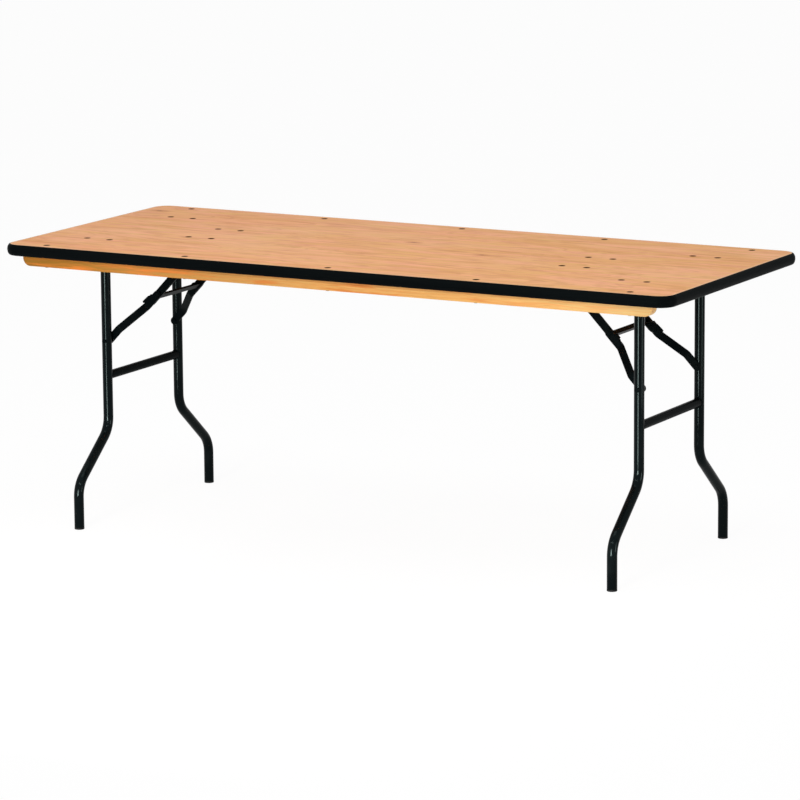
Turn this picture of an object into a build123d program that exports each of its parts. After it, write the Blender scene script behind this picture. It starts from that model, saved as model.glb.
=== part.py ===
from build123d import *
import os
from math import cos, hypot, radians, sin, sqrt

# Folding banquet table, in millimetres.
# The origin is on the floor under the middle of the table, +X runs along its
# length to the right end, -Y is its front edge and +Z is up.

# Table top
TABLE_LENGTH = 1830.0
TABLE_WIDTH = 760.0
TABLE_HEIGHT = 720.0
CORNER_RADIUS = 44.0
PLY_THICKNESS = 21.0

# Edge band: a soft moulding with a bullnose face and a tongue in the ply
BAND_HEIGHT = 28.0
BAND_THICKNESS = 8.0
TONGUE_DEPTH = 9.0
TONGUE_THICKNESS = 2.5
TONGUE_CLEARANCE = 0.1

# Rails under the two long edges
RAIL_WIDTH = 26.0
RAIL_HEIGHT = 32.0
RAIL_EDGE_INSET = 22.0
RAIL_END_INSET = 53.0
RAIL_END_ROUND = 20.0
RAIL_RIVET_COUNT = 5
RAIL_RIVET_END_DISTANCE = 62.0

# Flush rivets that show on the top
RIVET_HEAD_DIAMETER = 15.0
RIVET_HEAD_RIM = 0.8
RIVET_SHANK_DIAMETER = 6.0
RIVET_TAIL_DIAMETER = 11.0
RIVET_TAIL_HEIGHT = 2.5
RIVET_RECESS = 0.15
RIVET_CLEARANCE = 0.05

# Pressed brackets that carry the legs and the stays
BRACKET_GAUGE = 2.5
BRACKET_LENGTH = 92.0
BRACKET_RIVET_SPACING = 66.0
BRACKET_CORNER_RADIUS = 6.0
LEG_CHEEK_WIDTH = 28.0
STAY_CHEEK_WIDTH = 22.0
LEG_RIVET_LINE_SPACING = 400.0
STAY_RIVET_LINE_SPACING = 144.0
BRACKET_RIVET_MARGIN = 13.0
PIVOT_HEADROOM = 0.8

# Leg frame: two bent tubes, a crossbar, plugs in the open ends
TUBE_DIAMETER = 25.0
TUBE_WALL = 1.5
TUBE_SIDE_CLEARANCE = 0.5
TUBE_TOP_REACH = 9.0
LEG_PIVOT_FROM_END = 174.0
UPRIGHT_SPACING = 340.0
FOOT_TO_RAIL = 4.5
UPPER_BEND_HEIGHT = 233.0
LOWER_BEND_HEIGHT = 112.0
BEND_RADIUS = 65.0
CROSSBAR_HEIGHT = 368.0
CROSSBAR_DIAMETER = 22.0
PLUG_CLEARANCE = 0.1
FOOT_PLUG_HEIGHT = 5.0
FOOT_PLUG_STEM = 22.0
FOOT_PLUG_ROUND = 1.0
TOP_PLUG_HEIGHT = 1.2
TOP_PLUG_STEM = 3.5
LEG_PIN_DIAMETER = 8.0
PIN_HEAD_OVERHANG = 2.5
PIN_HEAD_HEIGHT = 2.5

# Folding stays: flat bars that lie in line when the leg stands
STAY_WIDTH = 20.0
STAY_THICKNESS = 4.0
STAY_SPACING = 200.0
STAY_PIVOT_FROM_LEG = 219.0
STAY_RIVET_HEIGHT = 457.0
FOLDED_STAY_ANGLE = 5.5
STAY_TAIL = 36.0
STAY_GAP = 0.3
STAY_BEND_RADIUS = 14.0
STAY_BEND_START = 44.0
STAY_BEND_END = 40.0
STAY_PIN_DIAMETER = 7.0
STOP_TAB_LENGTH = 12.0
STOP_TAB_THICKNESS = 3.0
RUNNING_CLEARANCE = 0.06

# Latch bar between the two stays of a leg
LATCH_GAUGE = 3.0
LATCH_PIVOT_PAST_KNUCKLE = 23.0
LATCH_BAR_FROM_PIVOT = 20.0
LATCH_PLATE_WIDTH = 18.0
LATCH_BAR_WIDTH = 16.0
LATCH_BAR_FLANGE = 13.0
LATCH_BAR_GAUGE = 2.0
LATCH_PIN_DIAMETER = 6.0
CLAW_ROOT_WIDTH = 14.0
CLAW_CREST_WIDTH = 12.0
CLAW_TIP_WIDTH = 6.5
CLAW_CREST_HEIGHT = 12.5
CLAW_TIP_HEIGHT = 16.5
CLAW_REACH = 24.0

# Levels and places worked out from the sizes above
PLY_BOTTOM = TABLE_HEIGHT - PLY_THICKNESS
RAIL_BOTTOM = PLY_BOTTOM - RAIL_HEIGHT
RAIL_Y = TABLE_WIDTH / 2 - RAIL_EDGE_INSET - RAIL_WIDTH / 2
RAIL_LENGTH = TABLE_LENGTH - 2 * RAIL_END_INSET
TUBE_RADIUS = TUBE_DIAMETER / 2
TUBE_BORE_RADIUS = TUBE_RADIUS - TUBE_WALL
UPRIGHT_Y = UPRIGHT_SPACING / 2
FOOT_Y = RAIL_Y - RAIL_WIDTH / 2 - FOOT_TO_RAIL - TUBE_RADIUS
LEG_X = TABLE_LENGTH / 2 - LEG_PIVOT_FROM_END
TUBE_TOP_SWING = hypot(TUBE_TOP_REACH + TOP_PLUG_HEIGHT, TUBE_RADIUS)
LEG_Z = PLY_BOTTOM - BRACKET_GAUGE - TUBE_TOP_SWING - PIVOT_HEADROOM
STAY_X = LEG_X - STAY_PIVOT_FROM_LEG
STAY_Z = PLY_BOTTOM - BRACKET_GAUGE - STAY_WIDTH / 2 - PIVOT_HEADROOM
STAY_Y = STAY_SPACING / 2
STAY_RIVET_Y = STAY_RIVET_LINE_SPACING / 2
LEG_RIVET_Y = LEG_RIVET_LINE_SPACING / 2

# Planes of the flat bars, as distances from the table's long middle plane
UPPER_INNER = STAY_Y - STAY_THICKNESS / 2
UPPER_OUTER = STAY_Y + STAY_THICKNESS / 2
LOWER_INNER = UPPER_OUTER + STAY_GAP
LOWER_OUTER = LOWER_INNER + STAY_THICKNESS
LOWER_END_OUTER = UPRIGHT_Y - TUBE_RADIUS - STAY_GAP
LOWER_END_INNER = LOWER_END_OUTER - STAY_THICKNESS
LATCH_OUTER = UPPER_INNER - STAY_GAP
LATCH_INNER = LATCH_OUTER - LATCH_GAUGE

# Linkage of a leg: the stay is straight at rest and lies along the folded leg
LEG_ARM = LEG_Z - STAY_RIVET_HEIGHT
STAY_RISE = STAY_Z - STAY_RIVET_HEIGHT
STAY_LENGTH = hypot(STAY_PIVOT_FROM_LEG, STAY_RISE)
FOLDED_RUN = LEG_ARM - STAY_PIVOT_FROM_LEG
FOLDED_RISE = STAY_Z - LEG_Z
FOLDED_REACH = (
    FOLDED_RUN * cos(radians(FOLDED_STAY_ANGLE))
    - FOLDED_RISE * sin(radians(FOLDED_STAY_ANGLE))
)
KNUCKLE = (STAY_LENGTH**2 - FOLDED_RUN**2 - FOLDED_RISE**2) / (2 * (STAY_LENGTH + FOLDED_REACH))
LATCH_PIVOT = KNUCKLE + LATCH_PIVOT_PAST_KNUCKLE
LATCH_BAR_AT = LATCH_PIVOT - LATCH_BAR_FROM_PIVOT

# The stay's own plane: local X runs down the stay, local Y points to the leg's pivot
DOWN_STAY = Vector(STAY_PIVOT_FROM_LEG, 0, -STAY_RISE).normalized()
STAY_ORIGIN = Vector(STAY_X, 0, STAY_Z)
STAY_PLANE = Plane(origin=STAY_ORIGIN, x_dir=DOWN_STAY, z_dir=(0, -1, 0))


def on_stay(distance, across=0.0):
    """World point at a distance down the stay, in the middle plane of the table."""
    return STAY_PLANE.from_local_coords(Vector(distance, across, 0))


def stay_plate(outline, inner, outer):
    """A plate parallel to the stays, between two distances from the middle plane."""
    return STAY_PLANE.offset(-outer) * extrude(outline, outer - inner)


def rod(x, z, radius, start, end):
    """A round bar along Y."""
    middle = (start + end) / 2
    return Pos(x, middle, z) * Rot(90, 0, 0) * Cylinder(radius, abs(end - start))


def rod_on_stay(distance, radius, start, end):
    point = on_stay(distance)
    return rod(point.X, point.Z, radius, start, end)


def headed_pin(x, z, radius, start, end, head_start=True, head_end=True):
    """A pin along Y with a low domed head outside each stated end."""
    pin = rod(x, z, radius, start, end)
    head = Cylinder(radius + PIN_HEAD_OVERHANG, PIN_HEAD_HEIGHT)
    head = fillet(head.edges().group_by(Axis.Z)[-1], PIN_HEAD_HEIGHT * 0.6)
    if head_end:
        pin += Pos(x, end + PIN_HEAD_HEIGHT / 2, z) * Rot(-90, 0, 0) * head
    if head_start:
        pin += Pos(x, start - PIN_HEAD_HEIGHT / 2, z) * Rot(90, 0, 0) * head
    return pin


def mirrored(shape):
    """The same piece on the front side of the table."""
    return mirror(shape, about=Plane.XZ)


def group(pieces):
    """Several separate solids that share one node."""
    solids = []
    for piece in pieces:
        solids.extend(piece.solids())
    return Compound(solids)


# Table top, edge band and rails
def rail_rivet_places():
    span = RAIL_LENGTH - 2 * RAIL_RIVET_END_DISTANCE
    pitch = span / (RAIL_RIVET_COUNT - 1)
    return [-span / 2 + index * pitch for index in range(RAIL_RIVET_COUNT)]


def bracket_rivet_places(x, y):
    offsets = (-BRACKET_RIVET_SPACING / 2, BRACKET_RIVET_SPACING / 2)
    return [(x + offset, y) for offset in offsets]


def right_bracket_rivets():
    places = []
    for side in (-1, 1):
        places += bracket_rivet_places(LEG_X, side * LEG_RIVET_Y)
        places += bracket_rivet_places(STAY_X, side * STAY_RIVET_Y)
    return places


def all_rivet_places():
    places = [(x, side * RAIL_Y) for x in rail_rivet_places() for side in (-1, 1)]
    for x, y in right_bracket_rivets():
        places += [(x, y), (-x, -y)]
    return places


def rivet_body(top, bottom, spare):
    """Countersunk head and shank of a flush rivet, grown all round by a spare amount."""
    head = RIVET_HEAD_DIAMETER / 2 + spare
    shank = RIVET_SHANK_DIAMETER / 2 + spare
    rim = TABLE_HEIGHT - RIVET_RECESS - RIVET_HEAD_RIM - spare
    neck = rim - head + shank
    outline = Polyline(
        (0, top), (head, top), (head, rim), (shank, neck), (shank, bottom), (0, bottom), close=True
    )
    return revolve(Plane.XZ * make_face(outline), Axis.Z)


def flush_rivet(x, y, seat):
    """A rivet from the table's surface down to its tail under a seat."""
    tail = Pos(0, 0, seat - RIVET_TAIL_HEIGHT / 2) * Cylinder(RIVET_TAIL_DIAMETER / 2, RIVET_TAIL_HEIGHT)
    tail = fillet(tail.edges().group_by(Axis.Z)[0], RIVET_TAIL_HEIGHT * 0.6)
    return Pos(x, y, 0) * (rivet_body(TABLE_HEIGHT - RIVET_RECESS, seat, 0.0) + tail)


def plate_outline(inset):
    radius = CORNER_RADIUS - inset
    return RectangleRounded(TABLE_LENGTH - 2 * inset, TABLE_WIDTH - 2 * inset, radius)


def edge_ring(inset, depth, thickness, middle):
    """A flat ring that follows the table's outline."""
    ring = plate_outline(inset) - plate_outline(inset + depth)
    return Pos(0, 0, middle - thickness / 2) * extrude(ring, thickness)


def plywood_top():
    board = Pos(0, 0, PLY_BOTTOM) * extrude(plate_outline(BAND_THICKNESS), PLY_THICKNESS)
    groove_depth = TONGUE_DEPTH + TONGUE_CLEARANCE
    groove_height = TONGUE_THICKNESS + 2 * TONGUE_CLEARANCE
    board -= edge_ring(BAND_THICKNESS, groove_depth, groove_height, TABLE_HEIGHT - PLY_THICKNESS / 2)
    hole = rivet_body(TABLE_HEIGHT, PLY_BOTTOM, RIVET_CLEARANCE)
    return board - [Pos(x, y, 0) * hole for x, y in all_rivet_places()]


def edge_band():
    """A bullnose swept round the board, with its tongue."""
    path = plate_outline(BAND_THICKNESS).wire()
    middle = TABLE_HEIGHT - BAND_HEIGHT / 2
    start = path @ 0
    along = path % 0
    outward = along.cross(Vector(0, 0, 1))
    if outward.dot(start) < 0:
        outward = -outward
    section = Plane(origin=start, x_dir=outward, z_dir=along)
    front_half = Pos(BAND_THICKNESS / 2, 0) * Rectangle(BAND_THICKNESS, BAND_HEIGHT)
    nose = Ellipse(BAND_THICKNESS, BAND_HEIGHT / 2) & front_half
    band = Pos(0, 0, middle) * sweep(section * nose, path=path)
    tongue_middle = TABLE_HEIGHT - PLY_THICKNESS / 2
    return band + edge_ring(BAND_THICKNESS, TONGUE_DEPTH, TONGUE_THICKNESS, tongue_middle)


def rail():
    """The back rail, with its lower ends rounded."""
    side = Rectangle(RAIL_LENGTH, RAIL_HEIGHT)
    side = fillet(side.vertices().group_by(Axis.Y)[0], min(RAIL_END_ROUND, 0.95 * RAIL_HEIGHT))
    middle = Vector(0, RAIL_Y + RAIL_WIDTH / 2, PLY_BOTTOM - RAIL_HEIGHT / 2)
    bar = Plane(origin=middle, x_dir=(1, 0, 0), z_dir=(0, -1, 0)) * extrude(side, RAIL_WIDTH)
    radius = RIVET_SHANK_DIAMETER / 2 + RIVET_CLEARANCE
    hole = Cylinder(radius, RAIL_HEIGHT)
    return bar - [Pos(x, RAIL_Y, PLY_BOTTOM - RAIL_HEIGHT / 2) * hole for x in rail_rivet_places()]


def rail_rivets():
    return group([flush_rivet(x, RAIL_Y, RAIL_BOTTOM) for x in rail_rivet_places()])


# Brackets under the right end of the top, on the back side
def bracket(x, y, pivot_z, rivet_y, cheek_gap, cheek_width, pin_radius):
    """A plate under the top, riveted along one line, with two cheeks that hold a pivot pin."""
    half = cheek_gap / 2 + BRACKET_GAUGE
    inner = min(y - half, rivet_y - BRACKET_RIVET_MARGIN)
    outer = max(y + half, rivet_y + BRACKET_RIVET_MARGIN)
    width = outer - inner
    plate = RectangleRounded(BRACKET_LENGTH, width, min(BRACKET_CORNER_RADIUS, 0.45 * width))
    shape = Pos(x, (inner + outer) / 2, PLY_BOTTOM - BRACKET_GAUGE) * extrude(plate, BRACKET_GAUGE)
    drop = PLY_BOTTOM - BRACKET_GAUGE / 2 - pivot_z
    cheek = Pos(0, drop / 2) * Rectangle(cheek_width, drop) + Circle(cheek_width / 2)
    for side in (-1, 1):
        far_face = y + side * cheek_gap / 2 + (side + 1) / 2 * BRACKET_GAUGE
        shape += Plane(origin=(x, far_face, pivot_z), x_dir=(1, 0, 0), z_dir=(0, -1, 0)) * extrude(
            cheek, BRACKET_GAUGE
        )
    shape -= rod(x, pivot_z, pin_radius, y - width, y + width)
    radius = RIVET_SHANK_DIAMETER / 2 + RIVET_CLEARANCE
    hole = Cylinder(radius, 3 * BRACKET_GAUGE)
    middle = PLY_BOTTOM - BRACKET_GAUGE / 2
    return shape - [Pos(px, py, middle) * hole for px, py in bracket_rivet_places(x, rivet_y)]


def leg_cheek_gap():
    return TUBE_DIAMETER + 2 * TUBE_SIDE_CLEARANCE


def stay_cheek_gap():
    return STAY_THICKNESS + 2 * STAY_GAP


def leg_bracket():
    radius = LEG_PIN_DIAMETER / 2 + RIVET_CLEARANCE
    return bracket(LEG_X, UPRIGHT_Y, LEG_Z, LEG_RIVET_Y, leg_cheek_gap(), LEG_CHEEK_WIDTH, radius)


def stay_bracket():
    radius = STAY_PIN_DIAMETER / 2 + RIVET_CLEARANCE
    return bracket(STAY_X, STAY_Y, STAY_Z, STAY_RIVET_Y, stay_cheek_gap(), STAY_CHEEK_WIDTH, radius)


def leg_pin():
    half = leg_cheek_gap() / 2 + BRACKET_GAUGE
    return headed_pin(LEG_X, LEG_Z, LEG_PIN_DIAMETER / 2, UPRIGHT_Y - half, UPRIGHT_Y + half)


def stay_pin():
    half = stay_cheek_gap() / 2 + BRACKET_GAUGE
    return headed_pin(STAY_X, STAY_Z, STAY_PIN_DIAMETER / 2, STAY_Y - half, STAY_Y + half)


def bracket_rivets():
    seat = PLY_BOTTOM - BRACKET_GAUGE
    return group([flush_rivet(x, y, seat) for x, y in right_bracket_rivets()])


# Leg frame at the right end
def leg_tube():
    """The back tube: an upright, an outward kick and a short straight foot."""
    points = [
        (LEG_X, UPRIGHT_Y, LEG_Z + TUBE_TOP_REACH),
        (LEG_X, UPRIGHT_Y, UPPER_BEND_HEIGHT),
        (LEG_X, FOOT_Y, LOWER_BEND_HEIGHT),
        (LEG_X, FOOT_Y, FOOT_PLUG_HEIGHT),
    ]
    path = FilletPolyline(*points, radius=BEND_RADIUS)
    section = Plane(origin=points[0], x_dir=(1, 0, 0), z_dir=(0, 0, -1))
    tube = sweep(section * Circle(TUBE_RADIUS), path=path)
    tube -= sweep(section * Circle(TUBE_BORE_RADIUS), path=path)
    near = UPRIGHT_Y - TUBE_DIAMETER
    far = UPRIGHT_Y + TUBE_DIAMETER
    tube -= rod(LEG_X, LEG_Z, LEG_PIN_DIAMETER / 2 + RUNNING_CLEARANCE, near, far)
    return tube - rod(LEG_X, STAY_RIVET_HEIGHT, STAY_PIN_DIAMETER / 2 + RIVET_CLEARANCE, near, far)


def crossbar():
    """A tube between the uprights, its ends coped round them."""
    outside = rod(LEG_X, CROSSBAR_HEIGHT, CROSSBAR_DIAMETER / 2, -UPRIGHT_Y, UPRIGHT_Y)
    bore = rod(LEG_X, CROSSBAR_HEIGHT, CROSSBAR_DIAMETER / 2 - TUBE_WALL, -UPRIGHT_Y, UPRIGHT_Y)
    upright = Cylinder(TUBE_RADIUS, 3 * CROSSBAR_DIAMETER)
    uprights = [Pos(LEG_X, side * UPRIGHT_Y, CROSSBAR_HEIGHT) * upright for side in (-1, 1)]
    return outside - bore - uprights


def foot_plug():
    stem_radius = TUBE_BORE_RADIUS - PLUG_CLEARANCE
    head = Pos(0, 0, FOOT_PLUG_HEIGHT / 2) * Cylinder(TUBE_RADIUS, FOOT_PLUG_HEIGHT)
    head = fillet(head.edges().group_by(Axis.Z)[0], min(FOOT_PLUG_ROUND, 0.45 * FOOT_PLUG_HEIGHT))
    stem = Pos(0, 0, FOOT_PLUG_HEIGHT + FOOT_PLUG_STEM / 2) * Cylinder(stem_radius, FOOT_PLUG_STEM)
    return Pos(LEG_X, FOOT_Y, 0) * (head + stem)


def top_plug():
    stem_radius = TUBE_BORE_RADIUS - PLUG_CLEARANCE
    head = Pos(0, 0, TOP_PLUG_HEIGHT / 2) * Cylinder(TUBE_RADIUS, TOP_PLUG_HEIGHT)
    head = fillet(head.edges().group_by(Axis.Z)[-1], 0.6 * TOP_PLUG_HEIGHT)
    stem = Pos(0, 0, -TOP_PLUG_STEM / 2) * Cylinder(stem_radius, TOP_PLUG_STEM)
    return Pos(LEG_X, UPRIGHT_Y, LEG_Z + TUBE_TOP_REACH) * (head + stem)


def leg_rivet():
    """The rivet through an upright that carries the lower end of a stay."""
    inner = LOWER_END_INNER - STAY_GAP
    return headed_pin(LEG_X, STAY_RIVET_HEIGHT, STAY_PIN_DIAMETER / 2, inner, UPRIGHT_Y + TUBE_RADIUS)


# Stays at the right end, on the back side
def bar_outline(start, end):
    """A flat bar with round ends about two points on the stay."""
    return Pos((start + end) / 2, 0) * SlotCenterToCenter(end - start, STAY_WIDTH)


def upper_stay():
    """The bar from the bracket past the knuckle, with a stop tab over the lower bar."""
    tail = KNUCKLE + STAY_TAIL
    bar = stay_plate(bar_outline(0, tail - STAY_WIDTH / 2), UPPER_INNER, UPPER_OUTER)
    edge = STAY_WIDTH / 2
    tab_end = tail - STAY_WIDTH / 2
    tab_middle = tab_end - STOP_TAB_LENGTH / 2
    root = Pos(tab_middle, edge) * Rectangle(STOP_TAB_LENGTH, 2 * (STAY_GAP + STOP_TAB_THICKNESS))
    lip_middle = edge + STAY_GAP + STOP_TAB_THICKNESS / 2
    lip = Pos(tab_middle, lip_middle) * Rectangle(STOP_TAB_LENGTH, STOP_TAB_THICKNESS)
    bar += stay_plate(root, UPPER_INNER, UPPER_OUTER)
    bar += stay_plate(lip, UPPER_INNER, LOWER_OUTER)
    bar -= rod_on_stay(0, STAY_PIN_DIAMETER / 2 + RUNNING_CLEARANCE, 0, 2 * UPPER_OUTER)
    return bar - rod_on_stay(LATCH_PIVOT, LATCH_PIN_DIAMETER / 2 + RIVET_CLEARANCE, 0, 2 * UPPER_OUTER)


def lower_stay():
    """The bar from the knuckle to the leg, cranked outwards to meet the upright."""
    half = STAY_THICKNESS / 2
    stations = [
        (KNUCKLE - STAY_WIDTH / 2, LOWER_INNER + half),
        (KNUCKLE + STAY_BEND_START, LOWER_INNER + half),
        (STAY_LENGTH - STAY_BEND_END, LOWER_END_INNER + half),
        (STAY_LENGTH + STAY_WIDTH / 2, LOWER_END_INNER + half),
    ]
    points = [on_stay(distance) + Vector(0, y, 0) for distance, y in stations]
    path = FilletPolyline(*points, radius=STAY_BEND_RADIUS)
    section = Plane(origin=points[0], x_dir=(0, 1, 0), z_dir=DOWN_STAY)
    strip = sweep(section * Rectangle(STAY_THICKNESS, STAY_WIDTH), path=path)
    bar = strip & stay_plate(bar_outline(KNUCKLE, STAY_LENGTH), 0, UPRIGHT_Y)
    bar -= rod_on_stay(KNUCKLE, STAY_PIN_DIAMETER / 2 + RIVET_CLEARANCE, 0, UPRIGHT_Y)
    return bar - rod_on_stay(STAY_LENGTH, STAY_PIN_DIAMETER / 2 + RUNNING_CLEARANCE, 0, UPRIGHT_Y)


def knuckle_rivet():
    """The knuckle's rivet: its shank stops at the joint face between the two bars."""
    point = on_stay(KNUCKLE)
    return headed_pin(point.X, point.Z, STAY_PIN_DIAMETER / 2, LOWER_INNER, LOWER_OUTER, head_start=False)


# Latch at the right end: a hook on the back stay, a plain plate on the front stay
def latch_arm():
    middle = (LATCH_BAR_AT + LATCH_PIVOT) / 2
    return Pos(middle, 0) * SlotCenterToCenter(LATCH_BAR_FROM_PIVOT, LATCH_PLATE_WIDTH)


def pivoted_plate(outline):
    """A latch plate with the hole for its pivot."""
    plate = stay_plate(outline, LATCH_INNER, LATCH_OUTER)
    return plate - rod_on_stay(LATCH_PIVOT, LATCH_PIN_DIAMETER / 2 + RUNNING_CLEARANCE, 0, UPPER_OUTER)


def latch_plate():
    return pivoted_plate(latch_arm())


def tapered_link(start, start_width, end, end_width):
    """A flat link with round ends of two sizes and straight tangent sides."""
    run = end - start
    along = run.normalized()
    across = Vector(-along.Y, along.X)
    lean = (start_width - end_width) / 2 / run.length
    corners = []
    for side in (-1, 1):
        normal = across * side * sqrt(1 - lean**2) + along * lean
        sides = [start + normal * start_width / 2, end + normal * end_width / 2]
        corners += sides if side < 0 else reversed(sides)
    body = make_face(Polyline(*corners, close=True))
    body += Pos(start) * Circle(start_width / 2)
    return body + Pos(end) * Circle(end_width / 2)


def latch_hook():
    """The plate with a finger that bends out over the stay's edge."""
    root = Vector(LATCH_BAR_AT + LATCH_PLATE_WIDTH / 4, 0)
    crest = Vector(LATCH_PIVOT + CLAW_REACH / 4, CLAW_CREST_HEIGHT)
    tip = Vector(LATCH_PIVOT + CLAW_REACH, CLAW_TIP_HEIGHT)
    finger = tapered_link(root, CLAW_ROOT_WIDTH, crest, CLAW_CREST_WIDTH)
    finger += tapered_link(crest, CLAW_CREST_WIDTH, tip, CLAW_TIP_WIDTH)
    return pivoted_plate(latch_arm() + finger)


def latch_bar():
    """A folded strip that ties the hook to the plain plate."""
    half = LATCH_BAR_WIDTH / 2
    outline = Polyline(
        (-half, 0),
        (half, 0),
        (half, LATCH_BAR_FLANGE),
        (half - LATCH_BAR_GAUGE, LATCH_BAR_FLANGE),
        (half - LATCH_BAR_GAUGE, LATCH_BAR_GAUGE),
        (-half, LATCH_BAR_GAUGE),
        close=True,
    )
    angle = Pos(LATCH_BAR_AT, -LATCH_BAR_FLANGE / 2) * make_face(outline)
    return stay_plate(angle, -LATCH_INNER, LATCH_INNER)


def latch_rivet():
    """The latch's pivot, set flush in the upper bar and headed inside."""
    point = on_stay(LATCH_PIVOT)
    start = LATCH_INNER - STAY_GAP
    return headed_pin(point.X, point.Z, LATCH_PIN_DIAMETER / 2, start, UPPER_OUTER, head_end=False)


def front_and_back(make, name):
    """One piece on each side: the back one as made and its mirror image in front."""
    back = make()
    return {name + "_back": back, name + "_front": mirrored(back)}


def pair(make):
    back = make()
    return group([back, mirrored(back)])


def right_end():
    """Every piece at the right end, by name."""
    pieces = {}
    pieces.update(front_and_back(leg_bracket, "leg_bracket"))
    pieces.update(front_and_back(stay_bracket, "stay_bracket"))
    pieces["bracket_rivets"] = bracket_rivets()
    pieces["leg_pivot_pins"] = pair(leg_pin)
    pieces["stay_pivot_pins"] = pair(stay_pin)
    pieces.update(front_and_back(leg_tube, "leg_tube"))
    pieces["leg_crossbar"] = crossbar()
    pieces["foot_plugs"] = pair(foot_plug)
    pieces["tube_top_plugs"] = pair(top_plug)
    pieces["leg_rivets"] = pair(leg_rivet)
    pieces.update(front_and_back(upper_stay, "upper_stay"))
    pieces["latch_rivets"] = pair(latch_rivet)
    pieces.update(front_and_back(lower_stay, "lower_stay"))
    pieces["knuckle_rivets"] = pair(knuckle_rivet)
    pieces["latch_hook"] = latch_hook()
    pieces["latch_plate"] = mirrored(latch_plate())
    pieces["latch_bar"] = latch_bar()
    return pieces


def opposite(name):
    """A piece's name once the end is turned round: its front becomes its back."""
    if name.endswith("_front"):
        return name.removesuffix("_front") + "_back"
    if name.endswith("_back"):
        return name.removesuffix("_back") + "_front"
    return name


def all_pieces():
    pieces = {"plywood_top": plywood_top(), "edge_band": edge_band()}
    pieces.update(front_and_back(rail, "rail"))
    pieces.update(front_and_back(rail_rivets, "rail_rivets"))
    for name, shape in right_end().items():
        pieces["right_" + name] = shape
        pieces["left_" + opposite(name)] = Rot(0, 0, 180) * shape
    return pieces


def main():
    os.makedirs("parts", exist_ok=True)
    for name, shape in all_pieces().items():
        export_step(shape, os.path.join("parts", name + ".step"))


if __name__ == "__main__":
    main()
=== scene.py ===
import math

import bmesh
import bpy
from mathutils import Matrix, Vector


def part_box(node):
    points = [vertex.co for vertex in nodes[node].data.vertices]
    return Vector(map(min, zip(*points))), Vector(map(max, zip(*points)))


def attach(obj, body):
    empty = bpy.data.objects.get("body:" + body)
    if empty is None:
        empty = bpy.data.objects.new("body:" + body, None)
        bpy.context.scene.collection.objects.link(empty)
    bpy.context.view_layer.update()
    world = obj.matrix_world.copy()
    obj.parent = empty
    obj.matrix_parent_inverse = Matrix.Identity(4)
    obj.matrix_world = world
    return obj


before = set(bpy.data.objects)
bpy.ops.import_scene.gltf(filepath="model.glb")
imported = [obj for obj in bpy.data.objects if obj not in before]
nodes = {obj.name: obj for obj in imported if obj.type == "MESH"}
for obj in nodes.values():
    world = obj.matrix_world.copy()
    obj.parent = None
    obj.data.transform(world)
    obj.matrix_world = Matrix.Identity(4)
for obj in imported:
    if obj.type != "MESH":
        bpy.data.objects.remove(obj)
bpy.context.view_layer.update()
scene = bpy.context.scene

# Camera, fitted to the corners of the top and to the feet
CAMERA_POSITION = (4.9899, -9.1338, 2.3412)
CAMERA_YAW = -0.4995
CAMERA_PITCH = 0.1901
CAMERA_ROLL = -0.0073
CAMERA_LENS = 192.55
SENSOR_WIDTH = 36.0
VIEW_LIMIT = 200.0

# Board without its moulding: corner radius, and a painted highlight, the paler strip inside its edge
BOARD_CORNER = 0.036
ANY_HEIGHT = 10.0
EDGE_HIGHLIGHT_START = 0.0060
EDGE_HIGHLIGHT_END = 0.0025
EDGE_HIGHLIGHT_SHARE = 0.65

# Rings in the veneer's figure
VENEER_RINGS = 92.0

# Knots in the veneer: x, y and radius
VENEER_KNOTS = (
    (-0.003, 0.093, 0.0060),
    (0.241, -0.010, 0.0055),
    (-0.858, 0.280, 0.0070),
)

# A knot's halo and core: where they start to fade and end, in radii, and their strength
HALO_START = 0.9
HALO_END = 3.2
HALO_SHARE = 0.38
CORE_START = 0.35
CORE_END = 0.95
CORE_SHARE = 0.5

# Painted shade round the rivet heads in the top: a dark ring in the veneer where a countersink would be
# shadowed
HEAD_RADIUS = 0.0075
HEAD_SHADE_REACH = 0.0024
HEAD_SHADE_SHARE = 0.85
FLUSH = 0.0001

# Weights of a distance: measured in plan, or in plan and longer along the grain
IN_PLAN = (1.0, 1.0, 0.0)
ALONG_GRAIN = (0.55, 1.0, 0.0)

# Growth rings of the rails
RINGS_PER_METRE = 105.0
RING_TILT = 0.45
RING_WANDER = 7.5
LATE_WOOD_SHARE = 0.24
LATE_WOOD_RELIEF = 0.4

# How much duller the enamel is where it is dusty
ENAMEL_DULLING = 0.08

# Weld beads at the ends of the crossbars
WELD_RADIUS = 0.0019
WELD_RIPPLE = 0.00035
WELD_RIPPLES = 17
WELD_SWELLS = 3.0
WELD_SWELL_START = 0.7
WELD_STEPS = 102
WELD_SIDES = 10

# Floor
FLOOR_HALF = 60.0
FLOOR_DROP = 0.0005

# Light levels
WORLD_LIGHT = 0.50
WHITE_LEVEL = 1.0
SKY_LEVEL = 0.98
FLOOR_GLOW = 0.95

# Light panels: width and height in metres, power in watts
STRIP_SIZE = (0.36, 0.44)
STRIP_POWER = 3.2
STRIP_SPREAD = math.radians(44.0)
KEY_SIZE = (0.16, 0.14)
KEY_POWER = 6.0

# Sockets of a node that mixes colours
MIX_FIRST = 6
MIX_SECOND = 7
MIX_RESULT = 2


def srgb(red, green, blue):
    """A colour from its 0 to 255 values, as the linear values that shaders take."""
    linear = []
    for value in (red, green, blue):
        part = value / 255
        low = part / 12.92
        high = ((part + 0.055) / 1.055) ** 2.4
        linear.append(low if part <= 0.04045 else high)
    return (*linear, 1.0)


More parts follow.
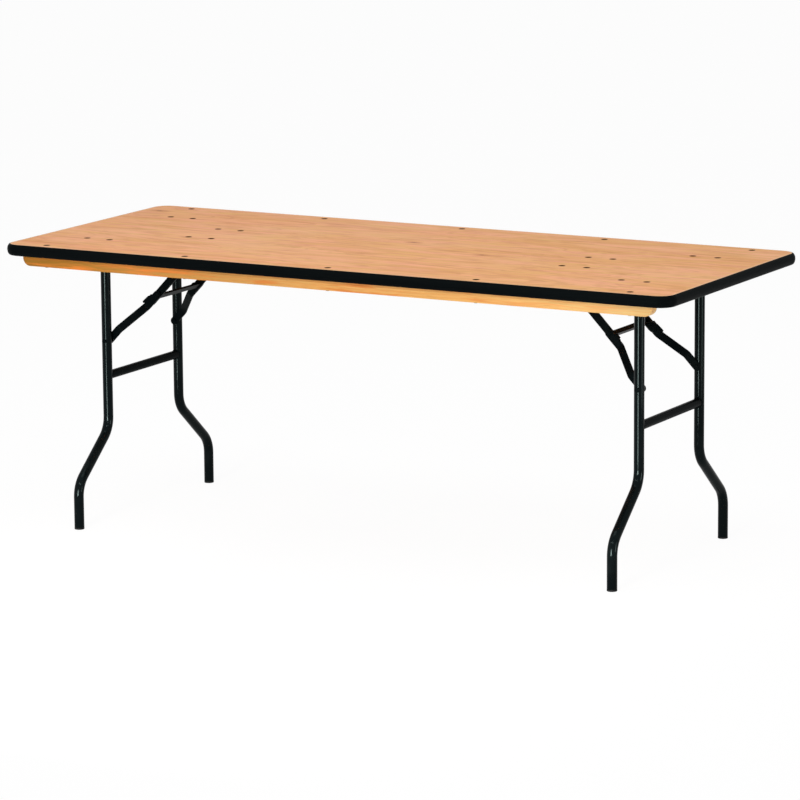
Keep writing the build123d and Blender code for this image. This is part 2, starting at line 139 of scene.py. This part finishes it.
# Colours
VENEER_PALE = srgb(224, 168, 124)
VENEER_MID = srgb(219, 159, 112)
VENEER_DEEP = srgb(208, 142, 92)
VENEER_STREAK = srgb(160, 94, 52)
VENEER_PINK = srgb(229, 164, 129)
VENEER_YELLOW = srgb(217, 168, 102)
# Colour of the painted highlight along the board's edge
VENEER_EDGE_HIGHLIGHT = srgb(224, 186, 146)
# Dark of the knots, also used for the painted shade round the rivet heads
KNOT_AND_SHADE_DARK = srgb(96, 58, 34)
PINE_AMBER = srgb(142, 98, 28)
PINE_PALE = srgb(234, 178, 103)
# Partly the rail's own paler tone and partly painted shade for its right end
PINE_STRAW_AND_SHADE = srgb(198, 166, 106)
PINE_RED = srgb(214, 118, 46)
PINE_LATE = srgb(150, 84, 24)
BAND_BLACK = srgb(8, 11, 12)
BAND_SCUFF = srgb(17, 21, 21)
PAINT_BLACK = srgb(3, 5, 6)
PAINT_DUSTY = srgb(10, 14, 14)
PAINT_CHIP = srgb(58, 64, 64)
STEEL_BLUED = srgb(5, 6, 7)
STEEL_BRIGHT = srgb(22, 25, 28)
PLUG_BLACK = srgb(13, 14, 14)
PLUG_WORN = srgb(22, 23, 23)
FLOOR_WHITE = srgb(250, 250, 250)
WHITE = (1.0, 1.0, 1.0, 1.0)
GLOSS_TINT = (0.76, 1.0, 0.95, 1.0)


class Shader:
    """A material's node tree, with short calls that make and join nodes."""

    def __init__(self, name):
        self.material = bpy.data.materials.new(name)
        self.material.use_nodes = True
        self.tree = self.material.node_tree
        self.tree.nodes.clear()
        self.output = self.tree.nodes.new("ShaderNodeOutputMaterial")
        self.surface = self.tree.nodes.new("ShaderNodeBsdfPrincipled")
        self.join(self.surface.outputs["BSDF"], self.output.inputs["Surface"])
        # The surface point in the part's own frame, in metres
        self.point = self.tree.nodes.new("ShaderNodeTexCoord").outputs["Object"]

    def join(self, source, target):
        self.tree.links.new(source, target)

    def feed(self, socket, value):
        if isinstance(value, bpy.types.NodeSocket):
            self.join(value, socket)
        else:
            socket.default_value = value

    def stretch(self, vector, scale, shift=(0.0, 0.0, 0.0)):
        node = self.tree.nodes.new("ShaderNodeMapping")
        node.inputs["Location"].default_value = shift
        node.inputs["Scale"].default_value = scale
        self.join(vector, node.inputs["Vector"])
        return node.outputs["Vector"]

    def noise(self, vector, scale=1.0, detail=3.0, rough=0.5, distortion=0.0):
        node = self.tree.nodes.new("ShaderNodeTexNoise")
        node.inputs["Scale"].default_value = scale
        node.inputs["Detail"].default_value = detail
        node.inputs["Roughness"].default_value = rough
        node.inputs["Distortion"].default_value = distortion
        self.join(vector, node.inputs["Vector"])
        return node.outputs["Fac"]

    def grain(self, along, across, shift=(0.0, 0.0, 0.0), **settings):
        """Noise drawn out along the table."""
        return self.noise(self.stretch(self.point, (along, across, across), shift), **settings)

    def math(self, operation, first, second=0.0):
        node = self.tree.nodes.new("ShaderNodeMath")
        node.operation = operation
        self.feed(node.inputs[0], first)
        self.feed(node.inputs[1], second)
        return node.outputs["Value"]

    def vector(self, operation, first, second=None):
        node = self.tree.nodes.new("ShaderNodeVectorMath")
        node.operation = operation
        self.feed(node.inputs[0], first)
        if second is not None:
            self.feed(node.inputs[1], second)
        return node.outputs["Value" if operation == "LENGTH" else "Vector"]

    def distance(self, vector, x, y, weights):
        """The distance in plan from an upright line at x and y."""
        offset = self.vector("SUBTRACT", vector, (x, y, 0.0))
        return self.vector("LENGTH", self.stretch(offset, weights))

    def span(self, value, low, high, start=0.0, end=1.0, smooth=True):
        """The value carried from low..high to start..end, and held at the ends."""
        node = self.tree.nodes.new("ShaderNodeMapRange")
        node.interpolation_type = "SMOOTHSTEP" if smooth else "LINEAR"
        node.inputs["From Min"].default_value = low
        node.inputs["From Max"].default_value = high
        node.inputs["To Min"].default_value = start
        node.inputs["To Max"].default_value = end
        self.join(value, node.inputs["Value"])
        return node.outputs["Result"]

    def blend(self, factor, first, second):
        node = self.tree.nodes.new("ShaderNodeMix")
        node.data_type = "RGBA"
        node.clamp_factor = True
        self.feed(node.inputs["Factor"], factor)
        self.feed(node.inputs[MIX_FIRST], first)
        self.feed(node.inputs[MIX_SECOND], second)
        return node.outputs[MIX_RESULT]

    def tint(self, colour, other, mask, low, high, share=1.0):
        """A colour that turns to another, by up to a share, as a mask goes from low to high."""
        return self.blend(self.span(mask, low, high, 0.0, share), colour, other)

    def spot(self, colour, other, distance, inner, outer, share):
        """A colour with a share of another inside one radius, which fades out at a second."""
        return self.blend(self.span(distance, inner, outer, share, 0.0), colour, other)

    def axes(self):
        """The x, y and z of the surface point."""
        node = self.tree.nodes.new("ShaderNodeSeparateXYZ")
        self.join(self.point, node.inputs["Vector"])
        return node.outputs

    def bump(self, height, strength, distance):
        node = self.tree.nodes.new("ShaderNodeBump")
        node.inputs["Strength"].default_value = strength
        node.inputs["Distance"].default_value = distance
        self.join(height, node.inputs["Height"])
        return node.outputs["Normal"]

    def finish(self, colour, roughness, normal, **constants):
        self.feed(self.surface.inputs["Base Color"], colour)
        self.feed(self.surface.inputs["Roughness"], roughness)
        self.join(normal, self.surface.inputs["Normal"])
        for name, value in constants.items():
            self.surface.inputs[name.replace("_", " ")].default_value = value
        return self.material


def node_finish(name):
    """The finish of a CAD node, read from its name."""
    if name == "plywood_top":
        return "plywood"
    if name in ("rail_front", "rail_back"):
        return "rail_wood"
    if name == "edge_band":
        return "edge_band"
    if "plug" in name:
        return "plug_plastic"
    if "bracket_rivets" in name or "rail_rivets" in name:
        return "rivet_steel"
    if "bracket" in name or "pins" in name:
        return "bracket_steel"
    if "leg_tube" in name:
        return "tube_paint"
    return "frame_paint"


def head_centres():
    """The centres of the rivet heads in the top, folded into one quarter of the board."""
    centres = set()
    for name, node in nodes.items():
        if node_finish(name) != "rivet_steel":
            continue
        top = max(vertex.co.z for vertex in node.data.vertices)
        heads = []
        for vertex in node.data.vertices:
            if vertex.co.z < top - FLUSH:
                continue
            for head in heads:
                if (vertex.co - head[0]).length < 3 * HEAD_RADIUS:
                    head.append(vertex.co)
                    break
            else:
                heads.append([vertex.co])
        for head in heads:
            middle_x = (min(spot.x for spot in head) + max(spot.x for spot in head)) / 2
            middle_y = (min(spot.y for spot in head) + max(spot.y for spot in head)) / 2
            centres.add((round(abs(middle_x), 3), round(abs(middle_y), 3)))
    return sorted(centres)


def plywood_material():
    """Lacquered rotary-cut veneer, with its grain along the table."""
    s = Shader("plywood_veneer")
    x = s.axes()["X"]
    figure = s.grain(along=1.5, across=8.0, detail=4.0, distortion=0.9)
    cloud = s.grain(along=3.2, across=6.5, shift=(4.0, 1.0, 0.0))
    rings = s.math("SINE", s.math("MULTIPLY", figure, VENEER_RINGS))
    fibre = s.grain(along=11.0, across=460.0, detail=4.0, rough=0.6)
    flecks = s.grain(along=34.0, across=780.0, detail=2.0)
    blush = s.grain(along=4.5, across=42.0, shift=(2.0, 7.0, 0.0))
    straw = s.grain(along=7.0, across=60.0, shift=(9.0, 3.0, 0.0))
    dashes = s.grain(along=10.0, across=95.0, shift=(1.0, 4.0, 0.0))
    colour = s.tint(VENEER_DEEP, VENEER_PALE, figure, low=0.36, high=0.62)
    colour = s.tint(colour, VENEER_MID, cloud, low=0.40, high=0.66, share=0.75)
    colour = s.tint(colour, VENEER_YELLOW, x, low=-0.75, high=0.85, share=0.40)
    colour = s.tint(colour, VENEER_PINK, blush, low=0.40, high=0.62, share=0.80)
    colour = s.tint(colour, VENEER_YELLOW, straw, low=0.45, high=0.66, share=0.62)
    colour = s.tint(colour, VENEER_STREAK, rings, low=0.15, high=1.0, share=0.18)
    colour = s.tint(colour, VENEER_STREAK, dashes, low=0.52, high=0.74, share=0.30)
    colour = s.tint(colour, VENEER_STREAK, fibre, low=0.50, high=0.78, share=0.28)
    colour = s.tint(colour, VENEER_STREAK, flecks, low=0.64, high=0.78, share=0.25)
    # Each knot has a dark core and a halo
    for knot_x, knot_y, radius in VENEER_KNOTS:
        away = s.distance(s.point, knot_x, knot_y, ALONG_GRAIN)
        colour = s.spot(colour, VENEER_STREAK, away, HALO_START * radius, HALO_END * radius, HALO_SHARE)
        colour = s.spot(colour, KNOT_AND_SHADE_DARK, away, CORE_START * radius, CORE_END * radius, CORE_SHARE)
    # Painted shade: a dark ring round each rivet head, standing in for shadow; the heads lie alike in
    # all four quarters
    folded = s.vector("ABSOLUTE", s.point)
    for head_x, head_y in head_centres():
        away = s.distance(folded, head_x, head_y, IN_PLAN)
        colour = s.spot(colour, KNOT_AND_SHADE_DARK, away, HEAD_RADIUS, HEAD_RADIUS + HEAD_SHADE_REACH, HEAD_SHADE_SHARE)
    # Painted highlight: a paler strip along the veneer's edge beside the moulding, where the moulding's
    # rounded top would catch light
    board_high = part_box("plywood_top")[1]
    straight = (board_high.x - BOARD_CORNER, board_high.y - BOARD_CORNER, ANY_HEIGHT)
    past = s.vector("MAXIMUM", s.vector("SUBTRACT", folded, straight), (0.0, 0.0, 0.0))
    reach = s.vector("LENGTH", past)
    low = BOARD_CORNER - EDGE_HIGHLIGHT_START
    high = BOARD_CORNER - EDGE_HIGHLIGHT_END
    colour = s.tint(colour, VENEER_EDGE_HIGHLIGHT, reach, low, high, EDGE_HIGHLIGHT_SHARE)
    wear = s.math("ADD", fibre, cloud)
    rough = s.span(wear, low=0.7, high=1.3, start=0.40, end=0.54, smooth=False)
    normal = s.bump(fibre, strength=0.10, distance=0.0004)
    return s.finish(colour, rough, normal, Specular_IOR_Level=0.015)


def pine_material():
    """Lacquered pine rail, darker at its left end, with growth rings that run along it."""
    s = Shader("rail_pine")
    x, y, z = s.axes()
    warp = s.grain(along=2.2, across=9.0, distortion=0.4)
    height = s.math("MULTIPLY", s.math("ADD", z, s.math("MULTIPLY", y, RING_TILT)), RINGS_PER_METRE)
    ring = s.math("FRACT", s.math("ADD", height, s.math("MULTIPLY", warp, RING_WANDER)))
    late = s.math("MULTIPLY", s.span(ring, low=0.25, high=0.86), s.span(ring, low=1.0, high=0.88))
    fibre = s.grain(along=13.0, across=420.0, rough=0.6)
    patch = s.grain(along=7.0, across=90.0, shift=(7.0, 0.0, 2.0))
    colour = s.tint(PINE_AMBER, PINE_PALE, x, low=-0.80, high=0.15, share=0.90)
    # Partly the rail's paler, less red tone and partly painted shade: the right end is duller, to
    # offset the lamps' extra light there
    colour = s.tint(colour, PINE_STRAW_AND_SHADE, x, low=0.35, high=0.85)
    colour = s.blend(s.math("MULTIPLY", late, LATE_WOOD_SHARE), colour, PINE_RED)
    fewer = s.span(x, low=0.20, high=0.65, start=0.70, end=0.25)
    knotty = s.math("MULTIPLY", s.span(patch, low=0.48, high=0.64), fewer)
    colour = s.blend(knotty, colour, PINE_RED)
    colour = s.tint(colour, PINE_LATE, fibre, low=0.50, high=0.80, share=0.34)
    rough = s.span(fibre, low=0.3, high=0.7, start=0.38, end=0.52, smooth=False)
    ridges = s.math("ADD", fibre, s.math("MULTIPLY", late, LATE_WOOD_RELIEF))
    normal = s.bump(ridges, strength=0.12, distance=0.0005)
    return s.finish(colour, rough, normal, Specular_IOR_Level=0.15)


def band_material():
    """Black extruded moulding, satin, with faint scuffs."""
    s = Shader("band_vinyl")
    drawn = s.noise(s.stretch(s.point, scale=(9.0, 9.0, 260.0)))
    scuff = s.noise(s.stretch(s.point, scale=(38.0, 38.0, 150.0)), detail=5.0, rough=0.7)
    grain = s.noise(s.point, scale=1400.0, detail=2.0)
    colour = s.tint(BAND_BLACK, BAND_SCUFF, scuff, low=0.58, high=0.80, share=0.55)
    colour = s.tint(colour, BAND_SCUFF, drawn, low=0.50, high=0.85, share=0.35)
    wear = s.math("ADD", scuff, drawn)
    rough = s.span(wear, low=0.7, high=1.3, start=0.30, end=0.46, smooth=False)
    normal = s.bump(grain, strength=0.08, distance=0.0002)
    return s.finish(colour, rough, normal, Specular_IOR_Level=0.008, Specular_Tint=GLOSS_TINT)


def paint_material(name, sheen, gloss, chips):
    """Black enamel with a faint orange peel, dust and small chips."""
    s = Shader(name)
    peel = s.noise(s.point, scale=160.0, detail=1.0)
    dust = s.noise(s.point, scale=14.0, detail=5.0, rough=0.65)
    chip = s.noise(s.point, scale=150.0, rough=0.65)
    colour = s.tint(PAINT_BLACK, PAINT_DUSTY, dust, low=0.42, high=0.78, share=0.8)
    colour = s.tint(colour, PAINT_CHIP, chip, low=0.735, high=0.76, share=chips)
    dull = gloss + ENAMEL_DULLING
    rough = s.span(dust, low=0.3, high=0.75, start=gloss, end=dull, smooth=False)
    normal = s.bump(peel, strength=0.03, distance=0.0003)
    return s.finish(colour, rough, normal, Specular_IOR_Level=sheen, Specular_Tint=GLOSS_TINT)


def rivet_material():
    """Blued steel, turned and lightly rubbed."""
    s = Shader("rivet_blued")
    rub = s.noise(s.point, scale=900.0, detail=4.0, rough=0.6)
    wear = s.noise(s.point, scale=60.0)
    colour = s.tint(STEEL_BLUED, STEEL_BRIGHT, rub, low=0.50, high=0.82, share=0.65)
    rough = s.span(wear, low=0.3, high=0.7, start=0.42, end=0.58, smooth=False)
    normal = s.bump(rub, strength=0.10, distance=0.0002)
    return s.finish(colour, rough, normal, Specular_IOR_Level=0.0)


def plug_material():
    """Black moulded plastic, paler where it rubs on the floor."""
    s = Shader("plug_moulded")
    z = s.axes()["Z"]
    grain = s.noise(s.point, scale=1600.0, detail=2.0)
    rub = s.noise(s.point, scale=240.0, detail=4.0, rough=0.65)
    near_floor = s.span(z, low=0.0, high=0.006, start=0.9, end=0.15)
    worn = s.math("MULTIPLY", near_floor, s.span(rub, low=0.40, high=0.70))
    colour = s.blend(worn, PLUG_BLACK, PLUG_WORN)
    rough = s.span(rub, low=0.3, high=0.7, start=0.48, end=0.64, smooth=False)
    normal = s.bump(grain, strength=0.12, distance=0.0002)
    return s.finish(colour, rough, normal, Specular_IOR_Level=0.05)


def weld_bead(end, place):
    """A rippled bead along the seam of a crossbar and an upright."""
    name = f"{end}_weld_{place}"
    bar_low, bar_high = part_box(f"{end}_leg_crossbar")
    tube_low, tube_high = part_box(f"{end}_leg_tube_{place}")
    middle = (bar_low + bar_high) / 2
    bar_radius = (bar_high.z - bar_low.z) / 2
    tube_radius = (tube_high.x - tube_low.x) / 2
    inward = 1 if place == "front" else -1
    inner_face = tube_high.y if place == "front" else tube_low.y
    axis_y = inner_face - inward * tube_radius
    mesh = bpy.data.meshes.new(name)
    build = bmesh.new()
    rows = []
    for step in range(WELD_STEPS):
        turn = 2 * math.pi * step / WELD_STEPS
        side = bar_radius * math.cos(turn)
        rise = bar_radius * math.sin(turn)
        depth = math.sqrt(tube_radius ** 2 - side ** 2)
        centre = Vector((middle.x + side, axis_y + inward * depth, middle.z + rise))
        out = Vector((math.cos(turn), 0.0, math.sin(turn)))
        along = Vector((0.0, inward, 0.0))
        ripple = WELD_RIPPLE * math.sin(turn * WELD_RIPPLES)
        swell = WELD_RIPPLE * math.sin(turn * WELD_SWELLS + WELD_SWELL_START)
        radius = WELD_RADIUS + ripple + swell
        row = []
        for side_step in range(WELD_SIDES):
            angle = 2 * math.pi * side_step / WELD_SIDES
            offset = out * math.cos(angle) + along * math.sin(angle)
            row.append(build.verts.new(centre + offset * radius))
        rows.append(row)
    for step in range(WELD_STEPS):
        row = rows[step]
        following = rows[(step + 1) % WELD_STEPS]
        for side_step in range(WELD_SIDES):
            after = (side_step + 1) % WELD_SIDES
            corners = (row[side_step], row[after], following[after], following[side_step])
            build.faces.new(corners)
    bmesh.ops.recalc_face_normals(build, faces=build.faces)
    build.to_mesh(mesh)
    build.free()
    mesh.shade_smooth()
    bead = bpy.data.objects.new(name, mesh)
    scene.collection.objects.link(bead)
    return bead


def add_camera():
    """A camera at the photo's angle, from its yaw, pitch and roll."""
    forward = Vector((
        math.sin(CAMERA_YAW) * math.cos(CAMERA_PITCH),
        math.cos(CAMERA_YAW) * math.cos(CAMERA_PITCH),
        -math.sin(CAMERA_PITCH),
    ))
    level = Vector((math.cos(CAMERA_YAW), -math.sin(CAMERA_YAW), 0.0))
    upward = level.cross(forward)
    right = level * math.cos(CAMERA_ROLL) + upward * math.sin(CAMERA_ROLL)
    up = upward * math.cos(CAMERA_ROLL) - level * math.sin(CAMERA_ROLL)
    data = bpy.data.cameras.new("camera")
    data.sensor_width = SENSOR_WIDTH
    data.lens = CAMERA_LENS
    data.clip_end = VIEW_LIMIT
    camera = bpy.data.objects.new("camera", data)
    turn = Matrix((right, up, -forward)).transposed().to_4x4()
    camera.matrix_world = Matrix.Translation(CAMERA_POSITION) @ turn
    scene.collection.objects.link(camera)
    scene.camera = camera


def add_panel(name, place, target, size, power, spread=math.pi):
    """A light panel that faces the target. A small spread keeps its light in a beam."""
    data = bpy.data.lights.new(name, "AREA")
    data.shape = "RECTANGLE"
    data.size, data.size_y = size
    data.energy = power
    data.spread = spread
    panel = bpy.data.objects.new(name, data)
    panel.location = place
    aim = Vector(target) - Vector(place)
    panel.rotation_euler = aim.to_track_quat("-Z", "Y").to_euler()
    panel.visible_camera = False
    scene.collection.objects.link(panel)


def seen_directly(tree):
    """1 for rays from the camera, a mirror or a clear piece, and 0 for rays that light a surface."""
    path = tree.nodes.new("ShaderNodeLightPath")
    total = path.outputs["Is Camera Ray"]
    for name in ("Is Glossy Ray", "Is Transmission Ray"):
        larger = tree.nodes.new("ShaderNodeMath")
        larger.operation = "MAXIMUM"
        tree.links.new(total, larger.inputs[0])
        tree.links.new(path.outputs[name], larger.inputs[1])
        total = larger.outputs["Value"]
    return total


def add_world():
    """Pale light all round, plain white where it is seen or mirrored."""
    world = bpy.data.worlds.new("studio")
    world.use_nodes = True
    tree = world.node_tree
    tree.nodes.clear()
    light = tree.nodes.new("ShaderNodeBackground")
    light.inputs["Color"].default_value = WHITE
    light.inputs["Strength"].default_value = WORLD_LIGHT
    sky = tree.nodes.new("ShaderNodeBackground")
    sky.inputs["Color"].default_value = WHITE
    sky.inputs["Strength"].default_value = SKY_LEVEL
    mix = tree.nodes.new("ShaderNodeMixShader")
    tree.links.new(seen_directly(tree), mix.inputs["Fac"])
    tree.links.new(light.outputs["Background"], mix.inputs[1])
    tree.links.new(sky.outputs["Background"], mix.inputs[2])
    output = tree.nodes.new("ShaderNodeOutputWorld")
    tree.links.new(mix.outputs["Shader"], output.inputs["Surface"])
    scene.world = world


def floor_material():
    """White where it is seen or mirrored, with a share of the shadows that fall on it."""
    material = bpy.data.materials.new("floor_white")
    material.use_nodes = True
    tree = material.node_tree
    tree.nodes.clear()
    diffuse = tree.nodes.new("ShaderNodeBsdfDiffuse")
    diffuse.inputs["Color"].default_value = FLOOR_WHITE
    glow = tree.nodes.new("ShaderNodeEmission")
    glow.inputs["Strength"].default_value = WHITE_LEVEL
    share = tree.nodes.new("ShaderNodeMath")
    share.operation = "MULTIPLY"
    share.inputs[1].default_value = FLOOR_GLOW
    tree.links.new(seen_directly(tree), share.inputs[0])
    mix = tree.nodes.new("ShaderNodeMixShader")
    tree.links.new(share.outputs["Value"], mix.inputs["Fac"])
    tree.links.new(diffuse.outputs["BSDF"], mix.inputs[1])
    tree.links.new(glow.outputs["Emission"], mix.inputs[2])
    output = tree.nodes.new("ShaderNodeOutputMaterial")
    tree.links.new(mix.outputs["Shader"], output.inputs["Surface"])
    return material


def add_floor():
    """A wide pale floor that keeps the table's shadow."""
    mesh = bpy.data.meshes.new("floor")
    build = bmesh.new()
    bmesh.ops.create_grid(build, x_segments=1, y_segments=1, size=FLOOR_HALF)
    build.to_mesh(mesh)
    build.free()
    mesh.materials.append(floor_material())
    floor = bpy.data.objects.new("floor", mesh)
    floor.location.z = -FLOOR_DROP
    scene.collection.objects.link(floor)


def add_lights():
    """Beams that draw stripes on the tubes, small keys for their bends, and soft panels."""
    add_panel(
        "front_right_strip",
        place=(0.80, -1.5, 0.22),
        target=(0.75, 0.0, 0.22),
        size=STRIP_SIZE,
        power=STRIP_POWER,
        spread=STRIP_SPREAD,
    )
    add_panel(
        "front_left_strip",
        place=(-0.50, -1.5, 0.22),
        target=(-0.70, 0.0, 0.22),
        size=STRIP_SIZE,
        power=STRIP_POWER,
        spread=STRIP_SPREAD,
    )
    add_panel(
        "right_strip",
        place=(2.9, -0.2, 0.30),
        target=(0.74, -0.1, 0.30),
        size=(0.5, 0.6),
        power=1.4,
        spread=STRIP_SPREAD,
    )
    add_panel(
        "middle_fill",
        place=(0.0, -2.2, 0.5),
        target=(0.0, -0.36, 0.66),
        size=(1.0, 0.4),
        power=6.0,
    )
    add_panel(
        "right_key",
        place=(0.85, -1.9, 1.45),
        target=(0.75, -0.2, 0.25),
        size=KEY_SIZE,
        power=KEY_POWER,
    )
    add_panel(
        "left_key",
        place=(-0.45, -1.9, 1.45),
        target=(-0.7, -0.2, 0.25),
        size=KEY_SIZE,
        power=KEY_POWER,
    )
    add_panel(
        "overhead",
        place=(0.2, -1.0, 4.5),
        target=(0.0, 0.0, 0.7),
        size=(3.5, 2.5),
        power=92.0,
    )


materials = {
    "plywood": plywood_material(),
    "rail_wood": pine_material(),
    "edge_band": band_material(),
    "tube_paint": paint_material("tube_enamel", sheen=0.05, gloss=0.06, chips=0.4),
    "frame_paint": paint_material("bar_enamel", sheen=0.012, gloss=0.24, chips=0.25),
    "bracket_steel": paint_material("bracket_enamel", sheen=0.06, gloss=0.30, chips=0.7),
    "rivet_steel": rivet_material(),
    "plug_plastic": plug_material(),
}

for name, node in nodes.items():
    node.data.materials.clear()
    node.data.materials.append(materials[node_finish(name)])

for end in ("right", "left"):
    for place in ("front", "back"):
        bead = weld_bead(end, place)
        bead.data.materials.append(materials["frame_paint"])
        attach(bead, f"{end}_leg")

add_camera()
add_world()
add_floor()
add_lights()

scene.view_settings.view_transform = "Standard"
